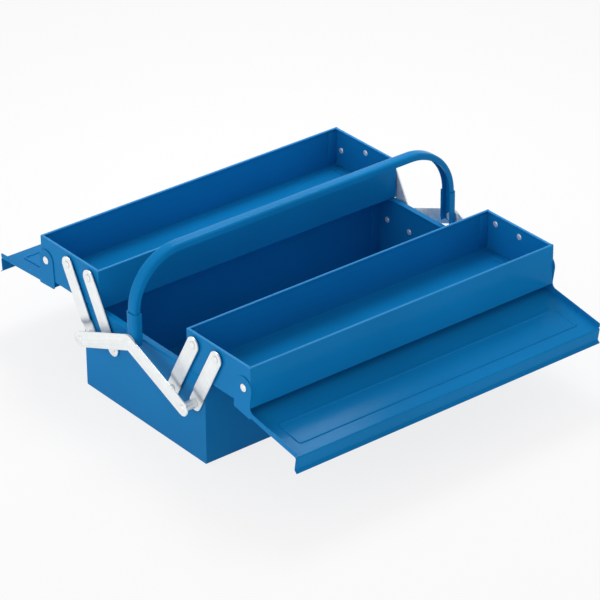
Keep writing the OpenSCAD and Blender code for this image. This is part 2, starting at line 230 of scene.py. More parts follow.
BASE_HIGH = span("base_end_right")[1]
SHELL_HIGH = span("base_shell")[1]
TRAY_LOW, TRAY_HIGH = span("rear_tray_end_right")
END_IN, HALF_L, HALF_W = SHELL_HIGH[0], BASE_HIGH[0], SHELL_HIGH[1]
SHEET = HALF_L - END_IN
OPEN_Y, OUTER_Y = TRAY_LOW[1], TRAY_HIGH[1]
TRAY_Z, RIM_Z = TRAY_LOW[2], TRAY_HIGH[2]
GAP = TRAY_Z - BASE_HIGH[2]
HINGE_Y, HINGE_Z = joint_at("rear_lid_hinge")[1:]
HINGE_IN = OUTER_Y - HINGE_Y
HINGE_DOWN = RIM_Z - HINGE_Z
LID_D = math.hypot(HINGE_IN, HINGE_DOWN) + GAP
LID_X = HALF_L + GAP
PIVOT_Z = joint_at("handle_swing")[2]


# ---- Sections and meshes ----


def joined(*parts):
    """Points from their parts, each spread to one shape."""
    return np.stack(np.broadcast_arrays(*parts), -1)


def unit(vectors):
    """Vectors along the last axis, each brought to length 1."""
    return vectors / np.maximum(np.linalg.norm(vectors, axis=-1, keepdims=True), NEAR_ZERO)


def smooth(t):
    """A smooth step from 0 to 1: the square of t times 3 less twice t."""
    t = np.clip(t, 0, 1)
    return t * t * (3 - 2 * t)


def left_of(angle):
    """Unit direction to the left of a heading, or of each of several."""
    return joined(-np.sin(angle), np.cos(angle))


def turn_path(start, heading, steps, bend):
    """Centre line of a folded sheet: each step runs straight, then turns by an angle on a bend.

    A step is its straight run, its turn in degrees and, where it has its own, its radius. Returns the
    points and their left-hand normals.
    """
    points, angles = [np.array([start], float)], [np.radians([heading])]
    for run, turn, *radius in steps:
        angle, r = angles[-1][-1], math.copysign(radius[0] if radius else bend, turn)
        centre = points[-1][-1] + run * np.array([math.cos(angle), math.sin(angle)]) + r * left_of(angle)
        sweep = angle + np.radians(turn) * np.linspace(0, 1, round(abs(turn) / 90 * BEND_STEPS) + 1)
        points.append(centre - r * left_of(sweep))
        angles.append(sweep)
    points, normals = np.concatenate(points), left_of(np.concatenate(angles))
    keep = np.append(True, np.linalg.norm(np.diff(points, axis=0), axis=1) > SAME_PLACE)
    return points[keep], normals[keep]


def folded(start, heading, steps, bend):
    """Section of a folded sheet: its centre line moved half a thickness to each side, with eased ends.

    It is a paired loop: its first half runs along one side, and its second half comes back along the other.
    """
    points, normals = turn_path(start, heading, steps, bend)
    half = SHEET / 2
    left, right = points + half * normals, points - half * normals
    along = joined(normals[[0, -1], 1], -normals[[0, -1], 0]) * EASE * half
    for side in (left, right):
        side[0] += along[0]
        side[-1] -= along[1]
    last = points[-1] + half * np.array([[1 - EASE], [EASE - 1]]) * normals[-1]
    first = points[0] + half * np.array([[EASE - 1], [1 - EASE]]) * normals[0]
    return np.concatenate([first[1:], left, last, right[::-1], first[:1]])


def thickened(line):
    """Paired loop of the sheet's thickness round a centre line."""
    ahead = unit(np.gradient(line, axis=0))
    offset = joined(-ahead[:, 1], ahead[:, 0]) * SHEET / 2
    return np.concatenate([line + offset, (line - offset)[::-1]])


def oriented(verts, blocks):
    """A closed mesh, as points and arrays of faces, with its faces turned so that its volume is positive."""
    faces = [verts[block] for block in blocks]
    volume = sum(np.sum(p[:, :1] * np.cross(p[:, 1:-1], p[:, 2:])) for p in faces)
    return verts, [b[:, ::-1] for b in blocks] if volume < 0 else blocks


def tube(rings, paired=False):
    """A skin over rings of equal length, as an array of ring, point and axis.

    Each end is one face, or for a paired loop a row of quads between its two halves.
    """
    count, size = rings.shape[:2]
    index = np.arange(count * size).reshape(count, size)
    after = np.roll(index, -1, 1)
    skin = np.stack([index[:-1], after[:-1], after[1:], index[1:]], -1).reshape(-1, 4)
    first, last = index[:1, ::-1], index[-1:]
    if paired:
        here = np.arange(size // 2 - 1)
        quads = np.stack([here, here + 1, size - 2 - here, size - 1 - here], 1)
        first, last = quads[:, ::-1], quads + (count - 1) * size
    return oriented(rings.reshape(-1, 3), [skin, first, last])


def loop_out(loop):
    """Outward direction at each point of a closed outline, lengthened at corners to keep an inset even."""
    ahead, behind = np.roll(loop, -1, 0) - loop, loop - np.roll(loop, 1, 0)
    n1, n2 = (unit(joined(side[:, 1], -side[:, 0])) for side in (ahead, behind))
    mean = unit(n1 + n2)
    stretch = 1 / np.maximum(np.sum(mean * n1, 1, keepdims=True), 1 / MITRE_LIMIT)
    area = np.sum(loop[:, 0] * np.roll(loop[:, 1], -1) - loop[:, 1] * np.roll(loop[:, 0], -1))
    return mean * stretch * (1 if area > 0 else -1)


PLANES = {"yz": (1, 2, 0), "xz": (0, 2, 1), "xy": (0, 1, 2)}


def prism(loop, low, high, edge=0.0, plane="yz", paired=False):
    """An outline in a plane, carried from low to high across it, with both rims rounded by edge."""
    insets, depths = (EDGE_RINGS if edge > 0 else np.zeros((2, 1))) * edge
    places = np.concatenate([low + depths, high - depths[::-1]])
    insets = np.concatenate([insets, insets[::-1]])
    first, second, across = PLANES[plane]
    rings = np.zeros((len(places), len(loop), 3))
    rings[..., [first, second]] = loop - loop_out(loop) * insets[:, None, None]
    rings[..., across] = places[:, None]
    return tube(rings, paired)


def rounded(corners, radii, arc=5):
    """A closed outline through corner points, each rounded to its radius by an arc."""
    corners = np.asarray(corners, float)
    made = []
    for i, (corner, r) in enumerate(zip(corners, radii)):
        a, b = unit(corners[i - 1] - corner), unit(corners[(i + 1) % len(corners)] - corner)
        if r <= 0:
            made.append(corner[None])
            continue
        half = math.acos(float(np.clip(a @ b, -1, 1))) / 2
        centre = corner + unit(a + b) * r / math.sin(half)
        one, two = corner + a * r / math.tan(half) - centre, corner + b * r / math.tan(half) - centre
        start = math.atan2(one[1], one[0])
        sweep = (math.atan2(two[1], two[0]) - start + math.pi) % (2 * math.pi) - math.pi
        angles = start + sweep * np.linspace(0, 1, arc + 1)
        made.append(centre + r * joined(np.cos(angles), np.sin(angles)))
    return np.concatenate(made)


def sheet_grid(points):
    """A thin shell over a grid of points, each moved half a thickness along its normal both ways."""
    offset = unit(np.cross(np.gradient(points, axis=0), np.gradient(points, axis=1))) * SHEET / 2
    rows, columns = points.shape[:2]
    top, under = (points + offset).reshape(-1, 3), (points - offset).reshape(-1, 3)
    index = np.arange(rows * columns).reshape(rows, columns)
    a, b, c, d = index[:-1, :-1], index[1:, :-1], index[1:, 1:], index[:-1, 1:]
    quads = np.stack([a, b, c, d], -1).reshape(-1, 4)
    far = rows * columns
    border = np.concatenate([index[:, 0], index[-1, 1:], index[-2::-1, -1], index[0, -2:0:-1]])
    after = np.roll(border, -1)
    rim = np.stack([border, border + far, after + far, after], -1)
    return oriented(np.concatenate([top, under]), [np.concatenate([quads, quads[:, ::-1] + far, rim])])


def mirrored(part, axis):
    """A mesh mirrored in one axis, with its faces turned back outwards."""
    verts, blocks = part
    flipped = verts.copy()
    flipped[:, axis] *= -1
    return flipped, [b[:, ::-1] for b in blocks]


def placed(part, matrix):
    """A mesh turned and moved by a 4 x 4 matrix."""
    verts, blocks = part
    m = np.array(matrix)
    return verts @ m[:3, :3].T + m[:3, 3], blocks


def turned_to(parts, side="rear", end="right"):
    """Parts drawn for the rear and the right end, mirrored for the front or the left."""
    if side == "front":
        parts = [mirrored(part, 1) for part in parts]
    return parts if end == "right" else [mirrored(part, 0) for part in parts]


def add_object(name, data):
    """A new object in the scene."""
    made = bpy.data.objects.new(name, data)
    bpy.context.scene.collection.objects.link(made)
    return made


def add_layer(mesh, name, kind, values):
    """A value or a vector for each point of a mesh, which its material reads by name."""
    data = mesh.attributes.new(name, kind, "POINT").data
    data.foreach_set("value" if kind == "FLOAT" else "vector", values.astype(np.float32).ravel())


def add_piece(kind, parts, node, material, grain=None, rim=None):
    """One object from closed meshes, standing for a CAD node and riding on that node's body.

    grain holds each point's place along, across and through a strip, and the share of the painted dark reflection
    at a link's step there. rim is the height of the painted highlight along a rolled edge.
    """
    name = f"{node}_{kind}"
    faces, shift = [], 0
    for verts, blocks in parts:
        for block in blocks:
            faces += (block + shift).tolist()
        shift += len(verts)
    mesh = bpy.data.meshes.new(name)
    places = np.concatenate([verts for verts, _ in parts])
    mesh.from_pydata(places.tolist(), [], faces)
    mesh.validate()
    mesh.shade_smooth()
    mesh.set_sharp_from_angle(angle=SMOOTH_ANGLE)
    if grain is not None:
        add_layer(mesh, "grain", "FLOAT_VECTOR", grain[:, :3])
        add_layer(mesh, "formed", "FLOAT", grain[:, 3])
    if rim is not None:
        add_layer(mesh, "rim", "FLOAT", np.full(len(places), rim))
    mesh.materials.append(material)
    piece = add_object(name, mesh)
    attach(piece, next(body for body, nodes in BODIES.items() if node in nodes))
    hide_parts(node)


# ---- Materials ----


class Value:
    """An output socket, on which Python's arithmetic builds Math nodes."""

    def __init__(self, finish, socket):
        self.finish, self.socket = finish, socket

    def __add__(self, other):
        return self.finish.math("ADD", self, other)

    def __sub__(self, other):
        return self.finish.math("SUBTRACT", self, other)

    def __mul__(self, other):
        return self.finish.math("MULTIPLY", self, other)

    def __truediv__(self, other):
        return self.finish.math("DIVIDE", self, other)

    def __gt__(self, other):
        return self.finish.math("GREATER_THAN", self, other)

    def __rsub__(self, other):
        return self.finish.math("SUBTRACT", other, self)

    __radd__, __rmul__ = __add__, __mul__


class Finish:
    """A procedural look. make() adds any node from its type, its settings and its sockets."""

    def __init__(self, name, kind="materials"):
        self.owner = getattr(bpy.data, kind).new(name)
        self.owner.use_nodes = True
        self.tree = self.owner.node_tree
        self.tree.nodes.clear()

    def make(self, kind, setup=None, inputs=None, output=0):
        node = self.tree.nodes.new(kind)
        for key, value in (setup or {}).items():
            setattr(node, key, value)
        for key, value in (inputs or {}).items():
            target = self.pick(node.inputs, key)
            if isinstance(value, Value):
                self.tree.links.new(value.socket, target)
            else:
                target.default_value = value
        return Value(self, self.pick(node.outputs, output))

    def pick(self, sockets, key):
        """A socket by its place, or the one in use by its name."""
        if isinstance(key, int):
            return sockets[key]
        return next(s for s in sockets if s.name == key and s.enabled)

    def math(self, operation, one, two):
        return self.make("ShaderNodeMath", {"operation": operation}, {0: one, 1: two})

    def here(self):
        return self.make("ShaderNodeTexCoord", output="Object")

    def noise(self, place, scale, detail, rough=0.5):
        inputs = {"Vector": place, "Scale": scale, "Detail": detail, "Roughness": rough}
        return self.make("ShaderNodeTexNoise", {}, inputs)

    def attribute(self, name, output="Fac"):
        return self.make("ShaderNodeAttribute", {"attribute_name": name}, output=output)

    def ramp(self, value, low, dark, high, light):
        """A colour that runs from dark at the value low to light at the value high."""
        colour = self.make("ShaderNodeValToRGB", {}, {"Fac": value})
        stops = colour.socket.node.color_ramp.elements
        for stop, place, tone in zip(stops, (low, high), (dark, light)):
            stop.position, stop.color = place, tone
        return colour

    def mix(self, share, one, two):
        """A colour between two others."""
        inputs = {"Factor": share, "A": one, "B": two}
        return self.make("ShaderNodeMix", {"data_type": "RGBA"}, inputs, output="Result")

    def between(self, value, low, high):
        """A value from 0 to 1 spread from low to high."""
        return self.make("ShaderNodeMapRange", {}, {"Value": value, "To Min": low, "To Max": high})

    def bump(self, height, strength, distance):
        return self.make("ShaderNodeBump", {}, {"Strength": strength, "Distance": distance, "Height": height})

    def finish(self, inputs):
        """The material, from the sockets of its one shader."""
        self.end("Material", self.make("ShaderNodeBsdfPrincipled", {}, inputs))
        return self.owner

    def end(self, kind, shader):
        out = self.tree.nodes.new("ShaderNodeOutput" + kind)
        self.tree.links.new(shader.socket, out.inputs["Surface"])


def shade(colour, share=1.0):
    """A colour for a socket, times a share."""
    return (*(min(1, part * share) for part in colour[:3]), 1)


def enamel_finish(name):
    """Blue stove enamel: slight drift of tone, a painted highlight on the rims, faint orange peel and hazy gloss.

    Share of the painted rim highlight: 1 less the square of the depth below the rim's height, over a short fade.
    """
    f, look = Finish(name), settings("enamel")
    drift = f.noise(f.here(), look.drift_scale, detail=3)
    haze = f.noise(f.here(), look.haze_scale, detail=5, rough=0.6)
    dust = f.noise(f.here(), look.peel_scale, detail=2)
    paint = f.ramp(drift, 0.3, shade(look.blue, look.tone_low), 0.7, shade(look.blue, look.tone_high))
    # Painted highlight: the rim colour is mixed in on a thin band round each rolled rim's height.
    rim = f.attribute("rim")
    depth = (rim - f.make("ShaderNodeSeparateXYZ", {}, {0: f.here()}, output="Z")) / look.rim_highlight_fade
    painted_rim_highlight = f.math("MAXIMUM", 1 - depth * depth, 0.0) * (rim > 0.0)
    return f.finish({
        "Base Color": f.mix(painted_rim_highlight * (look.rim_highlight_least + look.rim_highlight_more * haze), paint, shade(look.rim)),
        "Roughness": f.between(haze, look.gloss_low, look.gloss_high),
        "Normal": f.bump(dust, look.peel, look.peel_h),
        "Specular IOR Level": look.specular,
        "Specular Tint": shade(look.gloss_tint),
    })


def zinc_finish(name):
    """Bright zinc plate: fine streaks along a strip or spots on a rivet, spangle and duller patches.

    Tone: half streaks, half patches. A strip gets a painted dark reflection at its step, times a share that grows
    in patches.
    """
    f, look = Finish(name), settings("zinc")
    strip = name == "zinc_strip"
    if strip:
        scale = (look.streaks_along, look.streaks_across, look.streaks_across)
        along = f.make("ShaderNodeMapping", {}, {"Vector": f.attribute("grain", "Vector"), "Scale": scale})
        streaks = f.noise(along, scale=1.0, detail=2)
    else:
        streaks = f.noise(f.here(), look.rivet_scale, detail=2)
    cloud = f.noise(f.here(), look.cloud_scale, detail=4, rough=0.6)
    even = 0.5 * streaks + 0.5 * cloud
    colour = f.ramp(even, 0.3, shade(look.zinc, look.tone_low), 0.62, shade(look.zinc))
    # Painted reflection: a grey band mixed in at a link's step.
    if strip:
        painted_reflection_share = look.formed * f.attribute("formed") * (look.painted_reflection_least + look.painted_reflection_more * cloud)
        colour = f.mix(painted_reflection_share, colour, shade(look.dull))
    return f.finish({
        "Base Color": colour,
        "Metallic": look.metallic,
        "Roughness": f.between(cloud, look.gloss_low, look.gloss_high),
        "Normal": f.bump(streaks, look.streak, look.streak_h),
    })


def finish_of(name, maker):
    """The material of that name, made when it is first asked for."""
    return bpy.data.materials.get(name) or maker(name)


# ---- Sheet pieces ----


CLOSEST = 0.4  # least gap between samples, as a share of the fine step
SHUT_TIP = 1  # degrees by which a shut lid tips on the end rims
FLARE_TURN = 60  # degrees by which the tip of a lid's lip turns out


def fine_samples(low, high, marks, reach, step, coarse):
    """Places from low to high: coarse ones, and fine ones within reach of each mark.

    They are rounded to a micrometre, and one that lies too near the last is left out.
    """
    made = [np.linspace(low, high, coarse)]
    made += [np.arange(mark - reach, mark + reach + step / 2, step) for mark in marks]
    places = np.unique(np.round(np.concatenate(made), 6))
    places = places[(places >= low) & (places <= high)]
    places = places[np.append(True, np.diff(places) > CLOSEST * step)]
    places[0], places[-1] = low, high
    return places


def rounded_box_distance(x, y, half_x, half_y, corner):
    """Distance to the outline of a rectangle with rounded corners, centred on the origin."""
    qx, qy = np.abs(x) - (half_x - corner), np.abs(y) - (half_y - corner)
    outside = np.hypot(np.maximum(qx, 0), np.maximum(qy, 0))
    return outside + np.minimum(np.maximum(qx, qy), 0) - corner


def base_shell_parts():
    """The base's U: walls with rolled rims and bottom folds as carried sections, and a floor with two ribs.

    A rib's height falls from the sheet's thickness to 0 with the square of the distance over its flank.
    """
    sheet, half = settings("sheet"), SHEET / 2
    flat = HALF_W - half - sheet.bend
    rise = SHELL_HIGH[2] - sheet.rim - half - sheet.bend
    steps = [(0, 90), (rise, 0), (0, sheet.curl, sheet.rim - half)]
    wall = prism(folded((flat, half), 0, steps, sheet.bend), -END_IN, END_IN, paired=True)
    rib_y, rib_half, rib_r, flank = HALF_W / 2, HALF_L - sheet.rib_end, sheet.rib / 2, sheet.rib / 4
    reach, step = sheet.rib * 0.6, sheet.rib / 12
    y = fine_samples(-flat, flat, (-rib_y, rib_y), reach, step, coarse=9)
    x = fine_samples(-END_IN, END_IN, (-rib_half, rib_half), reach, step, coarse=13)[:, None]
    distance = rounded_box_distance(x, np.abs(y) - rib_y, rib_half + rib_r, rib_r, rib_r)
    height = SHEET * (1 - np.clip((distance + flank) / flank, 0, 1) ** 2)
    floor = sheet_grid(joined(x, y, half + height))
    return [wall, mirrored(wall, 1), floor]


def tab(low_y, high_y, low, high, corner, arc):
    """A welding tab: its outline from above, its tip's corners rounded, carried upwards."""
    sheet = settings("sheet")
    tip = END_IN - sheet.tab
    outline = [(tip, low_y), (END_IN, low_y), (END_IN, high_y), (tip, high_y)]
    return prism(rounded(outline, [corner, 0, 0, corner], arc), low, high, sheet.edge, "xy")


def welding_tabs(low_y, high_y, low, high, inset):
    """Tabs on the two walls of a shell and, inset from its walls, on its floor."""
    sheet, half = settings("sheet"), SHEET / 2
    tall = (low + sheet.tab_short, high - 3 * sheet.rim)
    middles = (low_y + 3 * half, high_y - 3 * half)
    walls = [tab(y - half, y + half, *tall, corner=half / 2, arc=2) for y in middles]
    floor = tab(low_y + inset, high_y - inset, low + SHEET, low + 2 * SHEET, corner=3 * MM, arc=4)
    return walls + [floor]


def notched_plate(low_y, high_y, notch_y, foot, shoulder, notch, foot_r, top_r):
    """An end plate with round corners, cut down to the height of its notch between two places."""
    outline = [
        (low_y, foot), (high_y, foot), (high_y, shoulder), (notch_y[1], shoulder),
        (notch_y[1], notch), (notch_y[0], notch), (notch_y[0], shoulder), (low_y, shoulder),
    ]
    return prism(rounded(outline, [foot_r, foot_r, top_r, 0, 0, 0, 0, top_r]), END_IN, HALF_L)


def base_end_parts():
    """The right end plate: a plate with rounded corners, a folded top flange between the trays, and tabs."""
    sheet, half = settings("sheet"), SHEET / 2
    top, tilt = BASE_HIGH[2], lid_tilt("front")
    flange_y = HALF_W - HINGE_IN - (HINGE_IN + 2 * GAP + SHEET) * math.cos(tilt) - LID_D * math.sin(tilt)
    flange_span, under = (-flange_y, flange_y), top - half - sheet.bend
    plate = notched_plate(-HALF_W, HALF_W, flange_span, 0, top, under, foot_r=1.5 * MM, top_r=2 * MM)
    steps = [(0, 90), (sheet.flange - sheet.bend + half, 0)]
    flange = folded((HALF_L - half, under), 90, steps, sheet.bend)
    flange = prism(flange, *flange_span, plane="xz", paired=True)
    return [plate, flange] + welding_tabs(-HALF_W, HALF_W, 0, SHELL_HIGH[2], SHEET + sheet.tab_short)


def tray_shell_parts():
    """The rear tray's U: floor, two walls and their rolled rims in one carried section."""
    sheet, half = settings("sheet"), SHEET / 2
    roll = sheet.rim - half
    rise = RIM_Z - sheet.rim - TRAY_Z - half - sheet.bend
    across = OUTER_Y - OPEN_Y - SHEET - 2 * sheet.bend
    start = (OPEN_Y + half, RIM_Z - sheet.rim)
    steps = [(rise, 90), (across, 90), (rise, 0), (0, sheet.curl, roll)]
    down, _ = turn_path(start, -90, steps, sheet.bend)
    curl, _ = turn_path(start, 90, [(0, -sheet.curl, roll)], sheet.bend)
    line = np.concatenate([curl[::-1], down[1:]])
    return [prism(thickened(line), -END_IN, END_IN, paired=True)]


def tray_end_parts():
    """The rear tray's right end plate: a rolled rim between the long rims, round corners and three tabs."""
    sheet, half = settings("sheet"), SHEET / 2
    top, rim_span = RIM_Z - sheet.rim, (OPEN_Y + 2 * sheet.rim, OUTER_Y - 2 * sheet.rim)
    heights = (TRAY_Z, RIM_Z - GAP, top)
    plate = notched_plate(OPEN_Y, OUTER_Y, rim_span, *heights, foot_r=1.4 * MM, top_r=1 * MM)
    rim = folded((HALF_L - half, top), 90, [(0, sheet.curl, sheet.rim - half)], sheet.bend)
    rim = prism(rim, *rim_span, plane="xz", paired=True)
    return [plate, rim] + welding_tabs(OPEN_Y, OUTER_Y, TRAY_Z, RIM_Z, sheet.tab_short)


def lid_tilt(side):
    """How far the open lid slopes: its hinge turns half a turn, that slope and the tip of a shut lid."""
    return math.radians(JOINTS[side + "_lid_hinge"]["range_deg"][1] - 180 - SHUT_TIP)


def lid_plate(low_u, high_u, free_u, middle):
    """The pressed plate of a lid, a grid of x, place u and height, with a bead round its field."""
    lid = settings("lid")
    half_w = lid.bead_w / 2
    flat_x, half_u = LID_X + SHEET / 2 - settings("sheet").bend, lid.bead_field / 2 - half_w
    mark_x, mark_u = HALF_L - lid.bead_in - half_w, free_u - lid.bead_in - half_w
    fine = (lid.bead_w, lid.mesh_step)
    u = fine_samples(low_u, high_u, (mark_u, mark_u - 2 * half_u), *fine, coarse=16)
    x = fine_samples(-flat_x, flat_x, (-mark_x, mark_x), *fine, coarse=21)[:, None]
    distance = rounded_box_distance(x, u - mark_u + half_u, mark_x, half_u, lid.bead_corner - half_w)
    bead = lid.bead_h * smooth((half_w - np.abs(distance)) / lid.flank)
    return sheet_grid(joined(x, u, middle + bead))


def lid_parts(side):
    """A lid: hinge fold, pressed plate with its bead, lip and flare, end folds, and ears round the hinge.

    It is drawn level, as place u outwards from the hinge and height over it, then turned to its slope.
    """
    sheet, lid = settings("sheet"), settings("lid")
    half, tilt = SHEET / 2, lid_tilt(side)
    middle = -LID_D - half
    edge_u, free_u = HINGE_IN + 2 * GAP + SHEET, HINGE_Y - OPEN_Y - lid.lip_in
    notch_u = HINGE_IN + LID_D * math.sin(lid_tilt("front")) + 2 * GAP
    low_u, high_u = -edge_u + half + sheet.bend, free_u - half - sheet.bend
    fold = LID_D - (RIM_Z - TRAY_Z - HINGE_DOWN + GAP + edge_u * math.sin(tilt)) / math.cos(tilt)
    start, steps = (-edge_u + half, fold - LID_D), [(fold + half - sheet.bend, 90)]
    hinge_fold, _ = turn_path(start, -90, steps, sheet.bend)
    near = np.concatenate([hinge_fold, joined(np.linspace(low_u, notch_u, 6)[1:], middle)])
    steps = [(0, -90), (lid.lip - SHEET - 2 * sheet.bend, FLARE_TURN), (lid.flare - sheet.bend, 0)]
    lip, _ = turn_path((high_u, middle), 0, steps, sheet.bend)
    plate = lid_plate(notch_u, high_u, free_u, middle)
    parts = [grid_strip(near, END_IN - GAP), grid_strip(lip, LID_X + SHEET), plate]
    turn, _ = turn_path((LID_X + half - sheet.bend, middle), 0, [(0, 90)], sheet.bend)
    end_fold = sheet_grid(joined(turn[:, :1], (notch_u, high_u), turn[:, 1:]))
    ear = prism(ear_outline(notch_u, high_u, middle + sheet.bend), LID_X, LID_X + SHEET)
    parts += [end_fold, mirrored(end_fold, 0), ear, mirrored(ear, 0)]
    about = Matrix.Translation((0, HINGE_Y, HINGE_Z)) @ Matrix.Rotation(-tilt, 4, "X")
    return [placed(part, about) for part in parts]


def grid_strip(line, reach):
    """A centre line in Y and Z carried along X from -reach to reach as a thin shell."""
    x = np.linspace(-reach, reach, 5)[:, None]
    return sheet_grid(joined(x, line[:, 0], line[:, 1]))


def ear_outline(notch_u, far_u, low):
    """Outline of the end flange and its ear: flat along the lid, a fillet, and an arc round the hinge."""
    lid = settings("lid")
    top, sole = lid.end_h - LID_D - SHEET, -LID_D - SHEET - lid.ear_drop
    fillet, heel_r, cut = 6 * MM, 3 * MM, 1 * MM
    end_u = far_u + cut
    flange = [
        (notch_u - cut, sole), (notch_u, sole + cut), (notch_u, low), (far_u, low),
        (end_u, low + cut / 2), (end_u, top - cut), (far_u, top),
    ]
    join = arc_points((lid.ear + fillet, top + fillet), fillet, 270, 180, 8)
    dome = arc_points((0, 0), lid.ear, 0, 180, 19)
    heel = arc_points((heel_r - lid.ear, sole + heel_r), heel_r, 180, 270, 6)
    return np.concatenate([flange, join, dome, heel])


def arc_points(centre, radius, start, end, count):
    """Points on a circle, from one angle to another in degrees."""
    angles = np.radians(np.linspace(start, end, count))
    return np.array(centre) + radius * joined(np.cos(angles), np.sin(angles))


# ---- Strips, bars and the handle ----


END_RINGS, RUN_RINGS = 11, 121  # rings in a strip's round end and along its run
TIP_HALF = 0.02 * MM  # half the width left at the tip of a round end
EDGE_SHARE = 0.9  # most of a strip's half width that its rounded edge may take
HOOP_STEPS = 25  # points round each bend of the handle
EASED_RUN = 1.25  # length of an eased step, as a multiple of a straight one of the same slope


def strap(run, width, thick, edge, offset=np.zeros_like, formed=np.zeros_like):
    """A flat strip with round ends along its own Z, faces across X.

    Each ring is a rounded rectangle, as wide as the strip's outline there, and lies offset(z) out. Returns
    the mesh and its grain: place along, across and through the strip, and the share of the painted dark reflection
    there.
    """
    r = width / 2
    tail = -r * np.cos(np.linspace(0, np.pi / 2, END_RINGS))
    z = np.concatenate([tail, np.linspace(0, run, RUN_RINGS)[1:-1], run - tail[::-1]])
    slope, z = np.gradient(offset(z), z)[:, None], z[:, None]
    past = np.clip(np.maximum(-z, z - run), 0, r)
    wide = np.maximum(np.sqrt(np.maximum(r * r - past * past, 0)), TIP_HALF)
    corner = np.minimum(edge, wide * EDGE_SHARE)
    angle = np.radians(np.add.outer([0, 90, 180, 270], [0, 30, 60, 90])).ravel()
    side_y, side_x = np.repeat([[1, -1, -1, 1], [1, 1, -1, -1]], 4, axis=1)
    across = side_y * (wide - corner) + corner * np.cos(angle)
    through = side_x * (thick / 2 - edge) + edge * np.sin(angle)
    points = joined(offset(z) + thick / 2 + through, across, z - through * slope)
    return tube(points), joined(z, across, through, formed(z)).reshape(-1, 4)


def leaning_strap(side, end, place, reach, *shape):
    """A strap from a place, leaning by its reach in Y and Z, for one side and end, and its grain."""
    part, grain = strap(math.hypot(*reach), *shape)
    about = Matrix.Translation(place) @ Matrix.Rotation(-math.atan2(*reach), 4, "X")
    return turned_to([placed(part, about)], side, end), grain


def link_parts(side, end, which):
    """A link, stepped outwards past its base pin, from its base pin to its tray pin."""
    strip = settings("strip")
    low, high = span(f"{side}_{which}_link_{end}")
    outer, top = joint_at(f"{side}_tray_swing"), joint_at(f"{side}_tray_level")
    base = outer if which == "outer" else joint_at(f"{side}_inner_link_left_swing")
    reach = (abs(top[1]) - abs(outer[1]), top[2] - base[2])
    near, far = sorted((abs(low[0]), abs(high[0])))
    step = far - near - strip.thick
    slide = step / math.tan(math.radians(strip.slope)) * EASED_RUN

    def offset(z):
        return step * smooth((z - strip.step_at) / slide)

    # Share of the painted grey reflection along the strip, highest just past the step.
    def formed(z):
        return np.exp(-(((z - strip.step_at - slide / 2) / strip.painted_reflection_reach) ** 2))

    shape = (high[1] - low[1] - reach[0], strip.thick, strip.edge, offset, formed)
    return leaning_strap(side, end, (near, abs(base[1]), base[2]), reach, *shape)


def bar_parts(side, end):
    """A handle bar from the handle's pivot down to the outer base pin."""
    low, high = span(f"{side}_handle_bar_{end}")
    pin = joint_at(f"{side}_tray_swing")
    reach = (abs(pin[1]), pin[2] - PIVOT_Z)
    place = (min(abs(low[0]), abs(high[0])), 0, PIVOT_Z)
    shape = (high[2] - low[2] + reach[1], high[0] - low[0], settings("strip").edge)
    return leaning_strap(side, end, place, reach, *shape)


def channel_loop(width, depth, wall, corner):
    """Section of a channel with round corners, as depth inwards and place across: outside, then inside."""
    half = width / 2
    outer = rounded([(depth, -half), (0, -half), (0, half), (depth, half)], [0, corner, corner, 0], arc=6)
    w, r = half - wall, corner - wall
    inner = rounded([(depth, w), (wall, w), (wall, -w), (depth, -w)], [0, r, r, 0], arc=6)
    return np.concatenate([outer, inner])


def hoop_parts():
    """The handle: a channel section carried up one leg, round a bend, along the top and down again.

    Each station is a place in X and Z and an angle, from which the section faces inwards.
    """
    strip = settings("strip")
    low, high = span("handle_hoop")
    foot_low, _ = span("handle_foot_right")
    outer_x, top_z, leg_z = high[0], high[2], low[2]
    depth = outer_x - (foot_low[0] + strip.foot / 2)
    bend_x, bend_z = outer_x - strip.bend, top_z - strip.bend
    legs = [(outer_x, leg_z, 0), (outer_x, (leg_z + bend_z) / 2, 0)]
    turn = np.radians(np.linspace(0, 90, HOOP_STEPS))
    arc = [(bend_x + strip.bend * math.cos(a), bend_z + strip.bend * math.sin(a), a) for a in turn]
    right = np.array(legs + arc + [(bend_x / 2, top_z, math.pi / 2)])
    left = (0, 0, math.pi) + right[::-1] * (-1, 1, -1)
    x, z, angle = np.concatenate([right, [(0, top_z, math.pi / 2)], left]).T
    centre, inward = joined(x, 0, z), -joined(np.cos(angle), 0, np.sin(angle))
    loop = channel_loop(high[1] - low[1], depth, strip.channel, strip.channel_r)
    points = centre[:, None] + inward[:, None] * loop[:, :1]
    points[..., 1] += loop[:, 1]
    return [tube(points, paired=True)]


def foot_parts():
    """The right foot: a channel that wraps the end of the handle, with a round toe on the pivot."""
    strip = settings("strip")
    low, high = span("handle_foot_right")
    half, top, depth = high[1], high[2], high[0] - low[0]
    section = channel_loop(2 * half, depth, strip.foot, strip.channel_r + strip.foot)
    drop = np.sqrt(np.maximum(half**2 - section[:, 1] ** 2, 0))
    heights = np.stack([PIVOT_Z - drop, PIVOT_Z - drop / 2, PIVOT_Z + 0 * drop, top + 0 * drop])
    return [tube(joined(high[0] - section[:, 0], section[:, 1], heights), paired=True)]


TURN_STEPS = 40  # points round a rivet
DOME = np.radians(np.linspace(12, 88, 8))  # angles from the rim of a rivet's dome to its top
TAIL_CURVE, HEAD_CURVE = 0.9, 0.98  # how much of that turn narrows the dome


def turned(profile, y, z):
    """A solid of revolution about X: each row of the profile is a place along it and a radius."""
    angle = np.linspace(0, 2 * np.pi, TURN_STEPS, endpoint=False)
    x, r = profile[:, :1], profile[:, 1:]
    return tube(joined(x, y + r * np.cos(angle), z + r * np.sin(angle)))


